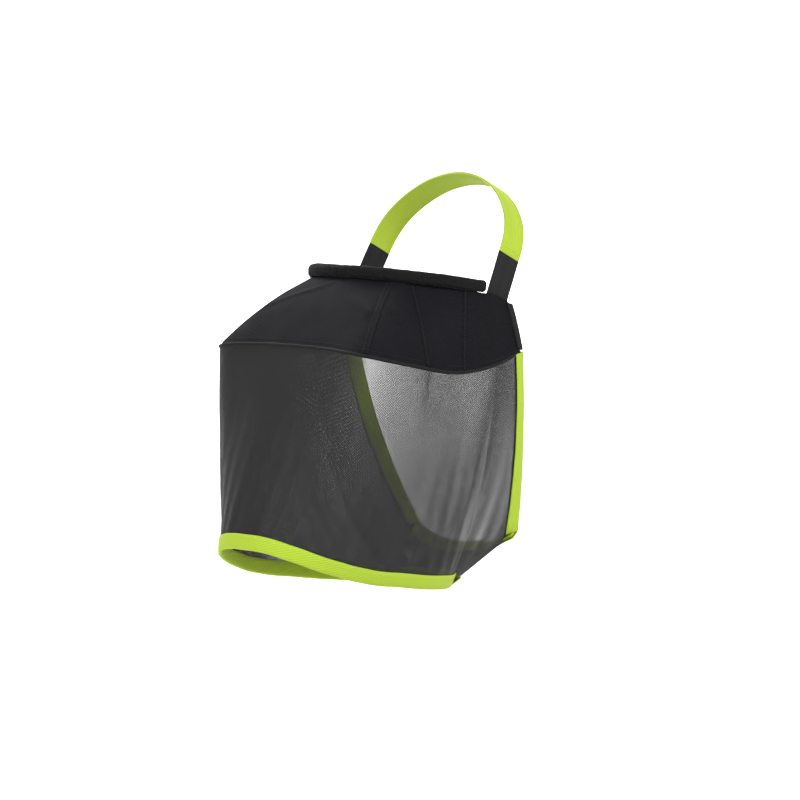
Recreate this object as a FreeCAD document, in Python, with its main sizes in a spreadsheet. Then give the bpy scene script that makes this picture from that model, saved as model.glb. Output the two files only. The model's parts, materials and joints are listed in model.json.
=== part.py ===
import FreeCAD, Part
import math
import os
import Sketcher
from FreeCAD import Vector, Placement, Rotation

# Fly mask for a horse: a padded brow band, a shaped opaque yoke over the eyes, a fine
# mesh skirt down the face, bound edges, an elastic-mounted poll strap and two jaw flaps
# that close with hook-and-loop tape. +X is the wearer's left, -Y the front, +Z up.

doc = FreeCAD.newDocument("FlyMask")
sheet = doc.addObject("Spreadsheet::Sheet", "Sizes")
sizes = {
    # brow band: a half ellipse that tips down towards its ends
    "brow_half_width": 95, "brow_depth": 80, "brow_rear_y": 58, "brow_rear_z": 58,
    "brow_side_radius": 72, "brow_front_radius": 109.06,
    "brow_tilt": 9.1, "brow_roll_high": 5.6, "brow_roll_thick": 4.2, "brow_cover": 0.9,
    # ridge: the seam between yoke and mesh, which stands off the eyes
    "ridge_front_y": -86, "ridge_front_z": 8, "ridge_half_width": 122,
    "ridge_side_z": -14, "ridge_rear_y": 91.5, "ridge_rear_x": 108,
    # nose opening: a rounded oblong that dips towards the jaw
    "nose_half_width": 72, "nose_half_length": 110, "nose_centre_y": -32,
    "nose_mid_z": -194.5, "nose_tilt": 20.5, "nose_dip": 7, "nose_squareness": 2.5,
    # jaw: fold lines of the two closing flaps, and the throat edge
    "jaw_half_width": 65, "jaw_rear_y": 125.5, "jaw_rear_z": -162,
    "throat_y": 117, "throat_z": -178, "fold_station": 0.83, "fold_gap": 1.9,
    # cloth
    "yoke_cloth": 1.0, "mesh_cloth": 1.0, "yoke_fullness": 6,
    "binding_width": 13, "binding_wall": 0.8, "hem_slack": 0.3,
    "seam_width": 7, "seam_raise": 0.7, "piping_radius": 1.6,
    # closing flaps and their tapes
    "flap_reach": 30, "flap_step": 2.0, "tape_width": 36, "tape_thick": 1.05,
    # poll strap and its elastics
    "strap_base_y": 78, "strap_base_z": 45, "strap_lean": 26.7, "strap_width": 25,
    "strap_thick": 2, "strap_half_width": 86, "strap_side_radius": 61,
    "strap_crown_radius": 93.04, "elastic_long": 42, "elastic_thick": 1.8,
    "elastic_lap": 6, "anchor_half_width": 90.5, "tab_drop": 8, "tab_long": 30,
    "tab_thick": 3.2,
}
for row, (alias, value) in enumerate(sizes.items(), start=1):
    sheet.set(f"A{row}", alias)
    sheet.set(f"B{row}", str(value))
    sheet.setAlias(f"B{row}", alias)
doc.recompute()


def size(alias):
    return float(sheet.get(alias))


nodes = []


def keep(obj, label):
    """A finished sub-part, exported under its label."""
    obj.Label = label
    nodes.append(obj)
    return obj


def bind(obj, **links):
    for name, text in links.items():
        obj.setExpression(name.replace("__", "."), text)


# ---------------------------------------------------------------- forming curves

def spline(stations, points):
    curve = Part.BSplineCurve()
    curve.interpolate(Points=points, Parameters=stations)
    return curve.value


def mirrored(stations, points):
    """A curve over -1 to 1 from its left half, mirrored across the middle plane."""
    back = [-t for t in reversed(stations[1:])]
    other = [Vector(-p.x, p.y, p.z) for p in reversed(points[1:])]
    return spline(back + stations, other + points)


seamStations = (0.3, 0.5, 0.68)
foldStation = size("fold_station")
halfRidge = size("ridge_half_width")
sideZ = size("ridge_side_z")
ridge = mirrored(
    [0, 0.16, 0.3, 0.5, 0.68, 0.84, 1],
    [Vector(0, size("ridge_front_y"), size("ridge_front_z")),
     Vector(0.41 * halfRidge, size("ridge_front_y"), 7),
     Vector(0.78 * halfRidge, size("ridge_front_y") + 4, 3),
     Vector(0.95 * halfRidge, -26, sideZ + 4),
     Vector(halfRidge, 10, sideZ),
     Vector(0.98 * halfRidge, 52, sideZ + 5),
     Vector(size("ridge_rear_x"), size("ridge_rear_y"), 1)])


def browPoint(turn):
    """On the middle line of the brow band, turn degrees round from its front."""
    tilt = math.radians(size("brow_tilt"))
    depth = size("brow_depth") * math.cos(math.radians(turn))
    return Vector(size("brow_half_width") * math.sin(math.radians(turn)),
                  size("brow_rear_y") - depth * math.cos(tilt),
                  size("brow_rear_z") + depth * math.sin(tilt))


underBand = Vector(0, 0, -size("brow_roll_high") - 1.2)
bandEnd = size("brow_half_width")
yokeTop = mirrored(
    [0, 0.15, 0.3, 0.5, 0.68, 0.8, 0.88, 1],
    [browPoint(turn) + underBand for turn in (0, 15.5, 31, 43, 76)]
    + [Vector(bandEnd, 57, 51), Vector(bandEnd, 68, 50), Vector(bandEnd, 91, 40.5)])


def noseLoop(turn):
    """On the nose opening, turn degrees round from its front."""
    angle = math.radians(turn)
    power = 2 / size("nose_squareness")
    side = math.copysign(abs(math.sin(angle)) ** power, math.sin(angle))
    along = math.copysign(abs(math.cos(angle)) ** power, math.cos(angle))
    return Vector(size("nose_half_width") * side,
                  size("nose_centre_y") - size("nose_half_length") * along,
                  size("nose_mid_z") + size("nose_tilt") * math.cos(angle)
                  + size("nose_dip") * math.cos(2 * angle))


foldFront = noseLoop(180 * foldStation)
foldRear = Vector(size("jaw_half_width"), size("jaw_rear_y"), size("jaw_rear_z"))


def skirtHem(t):
    """Lower border of the mesh: the nose opening, then up the jaw fold."""
    if abs(t) <= foldStation:
        return noseLoop(180 * t)
    share = (abs(t) - foldStation) / (1 - foldStation)
    p = foldFront + (foldRear - foldFront) * share
    return Vector(math.copysign(p.x, t), p.y, p.z)


fullness = mirrored([0, 0.3, 0.5, 0.68, 0.83, 1],
                    [Vector(0, y, 0) for y in (5, 3, 6, 10, 20, 8)])


def skirtPoint(t, v):
    """Middle surface of the mesh skirt: v runs from the ridge (0) to the hem (1)."""
    top, hem = ridge(t), skirtHem(t)
    side = abs(t)
    turn = 180 * side if side < 0.5 else 90 - 50 * (side - 0.5)
    out = Vector(math.copysign(math.sin(math.radians(turn)), t),
                 -math.cos(math.radians(turn)), 0)
    return top + (hem - top) * v + out * (fullness(t).y * 4 * v * (1 - v))


def yokePoint(t, v):
    """Middle surface of the yoke: v runs from the brow band (0) to the ridge (1)."""
    top, low = yokeTop(t), ridge(t)
    out = (low - top)
    out = Vector(0.5 * out.x / out.Length, 0.5 * out.y / out.Length, 0.85)
    rise = size("yoke_fullness") * (1 - 0.6 * t * t)
    return top + (low - top) * v + out * (rise * 4 * v * (1 - v))


def jawPoint(across, back):
    """Middle surface under the jaw: across -1 to 1 between the folds, back 0 at the
    nose opening to 1 at the throat."""
    share = across * across
    throat = Vector(foldRear.x * across,
                    size("throat_y") + (foldRear.y - size("throat_y")) * share,
                    size("throat_z") + (foldRear.z - size("throat_z")) * share)
    noseRear = noseLoop(180)
    front = Vector(foldFront.x * across,
                   noseRear.y + (foldFront.y - noseRear.y) * share,
                   noseRear.z + (foldFront.z - noseRear.z) * share)
    return front + (throat - front) * back


def normalAt(point, u, v):
    """Unit normal of a surface, pointing away from the head."""
    step = 0.002
    alongU = point(u + step, v) - point(u - step, v)
    alongV = point(u, min(v + step, 1)) - point(u, max(v - step, 0))
    normal = alongU.cross(alongV)
    normal.normalize()
    middle = Vector(0, 25, -60)
    return normal if normal.dot(point(u, v) - middle) > 0 else normal * -1


# ---------------------------------------------------------------- solids from cloth

def share(start, end, count):
    return [start + (end - start) * i / (count - 1) for i in range(count)]


def rail(points):
    """A smooth edge through one corner of every section."""
    curve = Part.BSplineCurve()
    curve.interpolate(Points=points, Parameters=[float(i) for i in range(len(points))])
    return curve.toShape()


def ruled(sections):
    """Smooth faces between the rails that run through the sections' corners."""
    rails = [rail(list(points)) for points in zip(*sections)]
    return [Part.makeRuledSurface(*pair) for pair in zip(rails, rails[1:] + rails[:1])]


def flat(sections):
    """Flat three-cornered faces between the sections, for cloth that twists as it runs."""
    faces = []
    for here, there in zip(sections, sections[1:]):
        for i, a in enumerate(here):
            b, c, d = here[i - 1], there[i - 1], there[i]
            for three in ((a, b, c), (a, c, d)):
                faces.append(Part.Face(Part.makePolygon([*three, three[0]])))
    return faces


def carried(sections, caps, skin):
    """A solid through sections, which all list the same corners; caps are the fours of
    corners that close both ends, and skin makes the faces between."""
    faces = skin(sections)
    for section in (sections[0], sections[-1]):
        for a, b, c, d in caps:
            faces.append(Part.makeRuledSurface(Part.makeLine(section[a], section[b]),
                                               Part.makeLine(section[d], section[c])))
    shell = Part.makeShell(faces)
    shell.sewShape()
    solid = Part.Solid(shell)
    if solid.Volume < 0:
        solid.reverse()
    return solid


def lamina(point, us, rowsAt, low, high):
    """A closed piece of cloth on a surface, from offset low to offset high. Each station
    has its own rows, so that cut edges keep an even distance from a border."""
    sections = []
    for u in us:
        rows = rowsAt(u)
        sections.append([point(u, v) + normalAt(point, u, v) * high for v in rows]
                        + [point(u, v) + normalAt(point, u, v) * low
                           for v in reversed(rows)])
    last = 2 * len(rows) - 1
    caps = [(k, k + 1, last - 1 - k, last - k) for k in range(len(rows) - 1)]
    return carried(sections, caps, flat)


def inward(point, border, way):
    """Measures in from a border of a surface: at(s, depth) is the (u, v) that lies depth
    millimetres inside border(s), on the way given."""
    def at(s, depth):
        u, v = border(s)
        step = 0.01
        beside = point(u + way[0] * step, v + way[1] * step)
        scale = depth * step / (beside - point(u, v)).Length
        return u + way[0] * scale, v + way[1] * scale
    return at


def strip(point, along, at, profile, caps, skin=ruled):
    """A profile carried along a border; its corners (across, normal) follow the cloth."""
    sections = []
    for s in along:
        corners = []
        for across, off in profile:
            u, v = at(s, -across)
            corners.append(point(u, v) + normalAt(point, u, v) * off)
        sections.append(corners)
    return carried(sections, caps, skin)


hemSlack = size("hem_slack")
hemCaps = [(1, 2, 3, 4), (0, 1, 4, 5), (5, 6, 7, 0)]


def hemProfile(width, wall, cloth):
    """Binding folded over a cloth edge: a U whose slot holds the cloth."""
    slot = cloth / 2 + hemSlack
    return [(0.9, -slot - wall), (0.9, slot + wall), (-width, slot + wall),
            (-width, slot), (0, slot), (0, -slot), (-width, -slot),
            (-width, -slot - wall)]


def clothPart(label, shape):
    piece = doc.addObject("Part::Feature", label)
    piece.Shape = shape
    piece.Placement = Placement()
    return keep(piece, label)


yokeCloth, meshCloth = size("yoke_cloth"), size("mesh_cloth")
wall, hemWidth = size("binding_wall"), size("binding_width")
pipingRadius = size("piping_radius")
clear = pipingRadius + 0.3  # from the ridge line to the cloth's cut edges
yokeEnd, skirtEnd = 0.985, 0.993


def yokeRows(t):
    drop = (ridge(t) - yokeTop(t)).Length
    return share(0, 1 - clear / drop, 6)


def skirtRows(count):
    """Rows down the skirt; the last two lie in the hem's binding."""
    def rows(t):
        drop = (skirtHem(t) - ridge(t)).Length
        hemTop = 1 - (hemWidth + 0.5) / drop
        return share(clear / drop, hemTop, count - 1) + [1 - 1.0 / drop]
    return rows


# yoke: a centre gore and three gores a side, butted at the seams
gores = [("yoke_centre_gore", -seamStations[0], seamStations[0])]
for sign, side in ((1, "left"), (-1, "right")):
    borders = seamStations + (yokeEnd,)
    for name, start, end in zip(("eye_front", "eye_rear", "temple"), borders, borders[1:]):
        gores.append((f"yoke_{name}_gore_{side}", *sorted((sign * start, sign * end))))
seamGap = 0.0012
for label, start, end in gores:
    us = share(start + seamGap, end - seamGap, 17 if "centre" in label else 8)
    clothPart(label, lamina(yokePoint, us, yokeRows, -yokeCloth / 2, yokeCloth / 2))

# felled seams that lie over the joins between gores
seamHalf, seamBase = size("seam_width") / 2, yokeCloth / 2 + 0.3
seamTop = seamBase + size("seam_raise")
felled = [(-seamHalf, seamBase), (seamHalf, seamBase),
          (seamHalf - 0.5, seamTop), (-seamHalf + 0.5, seamTop)]
for sign, side in ((1, "left"), (-1, "right")):
    for number, station in enumerate(seamStations, start=1):
        at = inward(yokePoint, lambda s, u=sign * station: (u, s), (sign, 0))
        clothPart(f"yoke_seam_{number}_{side}", strip(
            yokePoint, share(0.03, 0.955, 7), at, felled, [(0, 1, 2, 3)]))

# piping on the ridge, where the yoke is sewn to the mesh
cord = [(pipingRadius * math.cos(math.radians(a)), pipingRadius * math.sin(math.radians(a)))
        for a in range(0, 360, 45)]
clothPart("ridge_piping", strip(
    skirtPoint, share(-0.985, 0.985, 49), inward(skirtPoint, lambda s: (s, 0), (0, 1)),
    cord, [(0, 1, 2, 3), (0, 3, 4, 7), (4, 5, 6, 7)], flat))

# mesh skirt: a front panel, and a cheek and a jaw panel each side with a dart between
frontTo = seamStations[1]
clothPart("face_mesh", lamina(
    skirtPoint, share(-frontTo, frontTo, 37), skirtRows(6), -meshCloth / 2, meshCloth / 2))
for sign, side in ((1, "left"), (-1, "right")):
    for panel, start, end in (("cheek", frontTo + 0.001, foldStation - 0.001),
                              ("jaw", foldStation + 0.001, skirtEnd)):
        clothPart(f"{panel}_mesh_{side}", lamina(
            skirtPoint, share(sign * start, sign * end, 11), skirtRows(8),
            -meshCloth / 2, meshCloth / 2))

# bound edges: nose opening, cheek edges and the yoke's rear edges
hem = hemProfile(hemWidth, wall, meshCloth)
noseEnd = foldStation - 0.012
clothPart("nose_binding", strip(
    skirtPoint, share(-noseEnd, noseEnd, 61),
    inward(skirtPoint, lambda s: (s, 1), (0, -1)), hem, hemCaps, flat))
for sign, side in ((1, "left"), (-1, "right")):
    clothPart(f"cheek_binding_{side}", strip(
        skirtPoint, share(0.03, 0.98, 15),
        inward(skirtPoint, lambda s, u=sign: (u, s), (-sign, 0)), hem, hemCaps, flat))
    clothPart(f"temple_binding_{side}", strip(
        yokePoint, share(0.02, 0.95, 9),
        inward(yokePoint, lambda s, u=sign: (u, s), (-sign, 0)),
        hemProfile(0.6 * hemWidth, wall, yokeCloth), hemCaps, flat))

# jaw flaps: the left one laps outside the right one and carries the hook tape
gap, reach, step = size("fold_gap"), size("flap_reach"), size("flap_step")
tapeHalf, tapeThick = size("tape_width") / 2, size("tape_thick")


def flapAcross(sign, along, back):
    """How far across the jaw a flap's point lies: along 0 at the fold, 1 at its end."""
    halfWidth = foldFront.x + (foldRear.x - foldFront.x) * back
    return sign * (1 - gap / halfWidth - along * (1 - (gap - reach) / halfWidth))


def flapLayer(sign):
    """The flap's own middle surface, stepped out (left) or in (right) past the fold."""
    def point(along, back):
        across = flapAcross(sign, along, back)
        rise = min(1, max(0, (1 - sign * across) / 0.5))
        lift = sign * step * rise * rise * (3 - 2 * rise)
        return jawPoint(across, back) + normalAt(jawPoint, across, back) * lift
    return point


def tapeLayer(sign):
    """The tape's ground: the same surface, measured straight across in millimetres."""
    def point(x, back):
        halfWidth = foldFront.x + (foldRear.x - foldFront.x) * back
        across = x / halfWidth
        return jawPoint(across, back) + normalAt(jawPoint, across, back) * (sign * step)
    return point


for sign, side, tape in ((1, "left", "hook"), (-1, "right", "loop")):
    layer = flapLayer(sign)
    clothPart(f"jaw_flap_{side}", lamina(
        layer, share(0, 0.99, 9), lambda s: share(0.02, 0.98, 3),
        -meshCloth / 2, meshCloth / 2))
    for edge, back in (("nose", 0), ("throat", 1)):
        clothPart(f"flap_{edge}_binding_{side}", strip(
            layer, share(0.08, 0.985, 9),
            inward(layer, lambda s, v=back: (s, v), (0, 1 - 2 * back)), hem, hemCaps, flat))
    clothPart(f"flap_end_binding_{side}", strip(
        layer, share(0.34, 0.66, 5), inward(layer, lambda s: (1, s), (-1, 0)),
        hemProfile(0.75 * hemWidth, wall, meshCloth), hemCaps, flat))
    face = -sign * (meshCloth / 2 + 0.1)
    low, high = sorted((face, face - sign * tapeThick))
    clothPart(f"{tape}_tape", lamina(
        tapeLayer(sign), share(-tapeHalf, tapeHalf, 5), lambda x: share(0.36, 0.64, 2),
        low, high))

# brow band: a sleeve round a soft core, both swept along three tangent arcs
bandPlace = Placement(Vector(0, size("brow_rear_y"), size("brow_rear_z")),
                      Rotation(Vector(1, 0, 0), -size("brow_tilt")))


def rule(sketch, kind, *items, text=None):
    """Adds a constraint, bound to the sheet when text is given."""
    number = sketch.addConstraint(Sketcher.Constraint(kind, *items))
    if text:
        sketch.setExpression(f"Constraints[{number}]", text)


def planeOf(body, role):
    return [f for f in body.Origin.OriginFeatures if f.Role == role][0]


def newSketch(body, name, role):
    sketch = body.newObject("Sketcher::SketchObject", name)
    sketch.AttachmentSupport = (planeOf(body, role), [""])
    sketch.MapMode = "FlatFace"
    return sketch


def threeArcs(sketch, names, base, rise, inset=None):
    """Two side arcs and a flatter middle one, tangent where they meet, on a base line
    and rising (1) or falling (-1) from it. names are the sheet's half width, side radius
    and middle radius; inset names a size that is taken off all three. base is its text
    and value. Returns the first and last arc."""
    half, sideR, midR = [size(name) - (size(inset) if inset else 0) for name in names]
    texts = [f"Sizes.{name}" + (f" - Sizes.{inset}" if inset else "") for name in names]
    baseText, level = base
    sideX = half - sideR
    drop = math.sqrt((midR - sideR) ** 2 - sideX ** 2)
    lean, turn = math.atan2(drop, sideX), 0 if rise > 0 else math.pi
    arcs = []
    for x, y, radius, start, end in (
            (rise * sideX, level, sideR, 0, lean),
            (0, level - rise * drop, midR, lean, math.pi - lean),
            (-rise * sideX, level, sideR, math.pi - lean, math.pi)):
        circle = Part.Circle(Vector(x, y, 0), Vector(0, 0, 1), radius)
        arcs.append(sketch.addGeometry(Part.ArcOfCircle(circle, turn + start, turn + end)))
    first, middle, last = arcs
    rule(sketch, "Tangent", first, 2, middle, 1)
    rule(sketch, "Tangent", middle, 2, last, 1)
    for arc, radius, text in zip(arcs, (sideR, midR, sideR),
                                 (texts[1], texts[2], texts[1])):
        rule(sketch, "Radius", arc, radius, text=text)
    for arc, foot, side in ((first, 1, rise), (last, 2, -rise)):
        for point in (3, foot):
            if level:
                rule(sketch, "DistanceY", -1, 1, arc, point, level, text=baseText)
            else:
                rule(sketch, "PointOnObject", arc, point, -1)
        ends = (-1, 1, arc, foot) if side > 0 else (arc, foot, -1, 1)
        rule(sketch, "DistanceX", *ends, half, text=texts[0])
    return first, last


def drawBandPath(sketch):
    threeArcs(sketch, ("brow_half_width", "brow_side_radius", "brow_front_radius"),
              ("", 0), -1)


def drawCorners(sketch, corners):
    """A closed outline; each corner is (x, y, text for x's size, text for y's size)."""
    count, lines = len(corners), []
    for here, there in zip(corners, corners[1:] + corners[:1]):
        lines.append(sketch.addGeometry(Part.LineSegment(
            Vector(here[0], here[1], 0), Vector(there[0], there[1], 0))))
    for index, line in enumerate(lines):
        rule(sketch, "Coincident", line, 2, lines[(index + 1) % count], 1)
    for line, (x, y, wide, high) in zip(lines, corners):
        for kind, value, text in (("DistanceX", x, wide), ("DistanceY", y, high)):
            ends = (-1, 1, line, 1) if value > 0 else (line, 1, -1, 1)
            rule(sketch, kind, *ends, abs(value), text=text)


def drawRoll(shrink):
    """The roll's section at the left end of its path: a flattened twelve-sided round."""
    def draw(sketch):
        corners = []
        radius = size("brow_roll_thick") - shrink
        rise = size("brow_roll_high") - size("brow_roll_thick")
        for angle in range(15, 360, 30):
            out = math.cos(math.radians(angle)) / math.cos(math.radians(15))
            up = abs(math.sin(math.radians(angle))) / math.cos(math.radians(15))
            corners.append((
                size("brow_half_width") + radius * out,
                math.copysign(rise + radius * up, 180 - angle),
                f"Sizes.brow_half_width + (Sizes.brow_roll_thick - {shrink}) * ({out})",
                "Sizes.brow_roll_high - Sizes.brow_roll_thick"
                f" + (Sizes.brow_roll_thick - {shrink}) * ({up})"))
        drawCorners(sketch, corners)
    return draw


def roll(label, shrinks):
    """A body of one pipe, hollowed by a second pipe when two sizes are given."""
    body = doc.addObject("PartDesign::Body", label)
    path = newSketch(body, label + "_path", "XY_Plane")
    drawBandPath(path)
    for kind, shrink in zip(("AdditivePipe", "SubtractivePipe"), shrinks):
        section = newSketch(body, f"{label}_{kind}_section", "XZ_Plane")
        drawRoll(shrink)(section)
        doc.recompute()
        pipe = body.newObject("PartDesign::" + kind, f"{label}_{kind}")
        pipe.Profile = section
        pipe.Spine = (path, ["Edge1", "Edge2", "Edge3"])
        pipe.Mode = "Standard"
    body.Placement = bandPlace
    return keep(body, label)


coverThick = size("brow_cover")
roll("brow_band_cover", (0, coverThick))
roll("brow_band_foam", (coverThick + 0.05,))

# poll strap: a webbing arch on two elastics, drawn in its own leaning plane
strapPlace = Placement(Vector(0, size("strap_base_y"), size("strap_base_z")),
                       Rotation(Vector(1, 0, 0), -size("strap_lean")))


def webbing(label, draw, width):
    """A PartDesign body padded both ways from a profile in its XZ plane."""
    body = doc.addObject("PartDesign::Body", label)
    sketch = newSketch(body, label + "_profile", "XZ_Plane")
    draw(sketch)
    pad = body.newObject("PartDesign::Pad", label + "_pad")
    pad.Profile = sketch
    pad.SideType = "Symmetric"
    pad.setExpression("Length", width)
    body.Placement = strapPlace
    return keep(body, label)


def drawArch(sketch):
    """The strap's edge-on outline: an arch over the poll, as thick as the webbing."""
    names = ("strap_half_width", "strap_side_radius", "strap_crown_radius")
    base = ("Sizes.elastic_long + 0.3", size("elastic_long") + 0.3)
    outer = threeArcs(sketch, names, base, 1)
    inner = threeArcs(sketch, names, base, 1, inset="strap_thick")
    for one, two, foot in zip(outer, inner, (1, 2)):
        x = math.copysign(size("strap_half_width"), 1.5 - foot)
        end = sketch.addGeometry(Part.LineSegment(
            Vector(x, base[1], 0), Vector(x - math.copysign(size("strap_thick"), x),
                                          base[1], 0)))
        rule(sketch, "Coincident", one, foot, end, 1)
        rule(sketch, "Coincident", two, foot, end, 2)


def drawElastic(sign):
    """The elastic leans in from its lap on the tab to the strap's end."""
    def draw(sketch):
        foot, head = -size("elastic_lap"), size("elastic_long")
        low, thick = size("anchor_half_width"), size("elastic_thick")
        high = size("strap_half_width") - (size("strap_thick") - thick) / 2
        lower, upper = "Sizes.elastic_lap", "Sizes.elastic_long"
        inner = ("Sizes.strap_half_width - (Sizes.strap_thick + Sizes.elastic_thick) / 2",
                 "Sizes.anchor_half_width - Sizes.elastic_thick")
        outer = ("Sizes.strap_half_width - (Sizes.strap_thick - Sizes.elastic_thick) / 2",
                 "Sizes.anchor_half_width")
        drawCorners(sketch, [(sign * low, foot, outer[1], lower),
                             (sign * high, head, outer[0], upper),
                             (sign * (high - thick), head, inner[0], upper),
                             (sign * (low - thick), foot, inner[1], lower)])
    return draw


webbing("poll_strap", drawArch, "Sizes.strap_width")
for sign, side in ((1, "left"), (-1, "right")):
    webbing(f"poll_elastic_{side}", drawElastic(sign), "Sizes.strap_width")
    # tab that the elastic is sewn to, between the brow band's end and the rear edge
    tab = doc.addObject("Part::Box", f"Tab{side}")
    bind(tab, Length="Sizes.tab_thick", Width="Sizes.tab_long", Height="Sizes.tab_drop")
    edge = size("anchor_half_width") + 0.4
    left = edge if sign > 0 else -edge - size("tab_thick")
    corner = Vector(left, -size("tab_long") / 2, -size("tab_drop"))
    tab.Placement = strapPlace.multiply(Placement(corner, Rotation()))
    keep(tab, f"elastic_tab_{side}")

doc.recompute()
for obj in doc.Objects:
    if "Invalid" in obj.State or "Error" in obj.State:
        raise RuntimeError(f"{obj.Label} failed: {obj.State}")
os.makedirs("parts", exist_ok=True)
for obj in nodes:
    shape = obj.Shape
    if shape.isNull() or not shape.isValid() or shape.Volume <= 0:
        raise RuntimeError(f"{obj.Label} is not a sound solid")
for obj in nodes:
    obj.Shape.exportStep(f"parts/{obj.Label}.step")
print(len(nodes), "sub-parts written")
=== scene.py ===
import json
import math
import bpy
import numpy as np
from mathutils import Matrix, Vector, noise


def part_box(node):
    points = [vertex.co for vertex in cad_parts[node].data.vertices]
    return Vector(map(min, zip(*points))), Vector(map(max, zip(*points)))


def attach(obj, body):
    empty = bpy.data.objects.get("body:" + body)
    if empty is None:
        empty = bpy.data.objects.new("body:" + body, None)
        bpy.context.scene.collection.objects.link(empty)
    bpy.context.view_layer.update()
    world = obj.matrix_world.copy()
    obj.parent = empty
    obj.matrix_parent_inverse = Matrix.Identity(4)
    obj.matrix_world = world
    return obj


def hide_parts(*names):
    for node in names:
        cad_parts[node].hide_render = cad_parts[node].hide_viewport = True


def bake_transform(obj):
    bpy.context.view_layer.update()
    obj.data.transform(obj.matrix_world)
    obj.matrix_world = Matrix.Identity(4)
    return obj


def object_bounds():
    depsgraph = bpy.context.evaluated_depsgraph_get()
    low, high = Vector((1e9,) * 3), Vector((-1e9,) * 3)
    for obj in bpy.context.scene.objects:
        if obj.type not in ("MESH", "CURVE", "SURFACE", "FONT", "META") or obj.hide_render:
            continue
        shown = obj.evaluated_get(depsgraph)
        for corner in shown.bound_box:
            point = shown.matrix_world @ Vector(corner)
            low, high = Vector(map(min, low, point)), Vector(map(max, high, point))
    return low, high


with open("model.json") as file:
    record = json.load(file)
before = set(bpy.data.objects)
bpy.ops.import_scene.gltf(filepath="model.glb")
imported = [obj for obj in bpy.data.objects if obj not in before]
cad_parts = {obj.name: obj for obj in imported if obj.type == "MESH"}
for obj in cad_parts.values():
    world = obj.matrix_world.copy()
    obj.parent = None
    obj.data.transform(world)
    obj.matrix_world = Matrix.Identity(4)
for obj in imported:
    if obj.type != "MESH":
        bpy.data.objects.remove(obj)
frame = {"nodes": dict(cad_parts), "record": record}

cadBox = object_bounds()
record = frame["record"]
joints = {j["name"]: j for j in record["behaviour"]["joints"]}
finished = []  # every piece made here, for the closing count

# ---- form of the mask, in metres: the borders that the cloth is cut to

pipingLow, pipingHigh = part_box("ridge_piping")
form = {
    "ridgeHalf": (pipingHigh.x - pipingLow.x) / 2 - 0.0016,
    "ridgeFront": pipingLow.y + 0.0018,
    "browHalf": 0.095, "browDepth": 0.080, "browTilt": 9.1,
    "browRear": (0.058, 0.058), "underBand": 0.0060,
    "noseHalf": 0.072, "noseHalfLength": 0.110, "noseCentre": -0.032,
    "noseMid": -0.1945, "noseTilt": 0.0205, "noseDip": 0.0070, "noseSquareness": 2.5,
    "foldStation": 0.83, "throat": (0.117, -0.178),
    "seams": (0.3, 0.5, 0.68),
}


def splineThrough(stations, values):  # natural cubic through 3-D values
    s, y = np.array(stations, float), np.array(values, float)
    count, gap = len(s), np.diff(s)
    system, right = np.eye(count), np.zeros_like(y)
    for i in range(1, count - 1):
        system[i, i - 1:i + 2] = gap[i - 1], 2 * (gap[i - 1] + gap[i]), gap[i]
        right[i] = 6 * ((y[i + 1] - y[i]) / gap[i] - (y[i] - y[i - 1]) / gap[i - 1])
    bend = np.linalg.solve(system, right)

    def at(x):
        i = int(min(max(np.searchsorted(s, x) - 1, 0), count - 2))
        a, b, wide = s[i + 1] - x, x - s[i], gap[i]
        return ((bend[i] * a ** 3 + bend[i + 1] * b ** 3) / (6 * wide)
                + (y[i] / wide - bend[i] * wide / 6) * a
                + (y[i + 1] / wide - bend[i + 1] * wide / 6) * b)
    return at


def mirroredSpline(stations, values):
    back = [-t for t in reversed(stations[1:])]
    other = [(-v[0], v[1], v[2]) for v in reversed(values[1:])]
    return splineThrough(back + list(stations), other + list(values))


ridgeHalf, ridgeFront = form["ridgeHalf"], form["ridgeFront"]
ridge = mirroredSpline(
    [0, 0.16, 0.3, 0.5, 0.68, 0.84, 1],
    [(0, ridgeFront, 0.008), (0.41 * ridgeHalf, ridgeFront, 0.007),
     (0.78 * ridgeHalf, ridgeFront + 0.004, 0.003), (0.95 * ridgeHalf, -0.026, -0.010),
     (ridgeHalf, 0.010, -0.014), (0.98 * ridgeHalf, 0.052, -0.009), (0.108, 0.0915, 0.001)])


def browPoint(turn):
    tilt, angle = math.radians(form["browTilt"]), math.radians(turn)
    depth = form["browDepth"] * math.cos(angle)
    return np.array((form["browHalf"] * math.sin(angle),
                     form["browRear"][0] - depth * math.cos(tilt),
                     form["browRear"][1] + depth * math.sin(tilt)))


yokeTop = mirroredSpline(
    [0, 0.15, 0.3, 0.5, 0.68, 0.8, 0.88, 1],
    [browPoint(a) - (0, 0, form["underBand"]) for a in (0, 15.5, 31, 43, 76)]
    + [(form["browHalf"], y, z) for y, z in ((0.057, 0.051), (0.068, 0.050), (0.091, 0.0405))])


def noseLoop(turn):
    angle, power = math.radians(turn), 2 / form["noseSquareness"]
    side = math.copysign(abs(math.sin(angle)) ** power, math.sin(angle))
    along = math.copysign(abs(math.cos(angle)) ** power, math.cos(angle))
    return np.array((form["noseHalf"] * side,
                     form["noseCentre"] - form["noseHalfLength"] * along,
                     form["noseMid"] + form["noseTilt"] * math.cos(angle)
                     + form["noseDip"] * math.cos(2 * angle)))


foldStation = form["foldStation"]
foldFront = noseLoop(180 * foldStation)
foldMiddle = np.array(joints["jaw_flap_left_open"]["pos_m"])
foldRear = 2 * foldMiddle - foldFront
fullness = mirroredSpline([0, 0.3, 0.5, 0.68, 0.83, 1],
                          [(0, y, 0) for y in (0.005, 0.003, 0.006, 0.010, 0.020, 0.008)])


def skirtHem(t):
    if abs(t) <= foldStation:
        return noseLoop(180 * t)
    p = foldFront + (foldRear - foldFront) * (abs(t) - foldStation) / (1 - foldStation)
    return np.array((math.copysign(p[0], t), p[1], p[2]))


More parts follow.
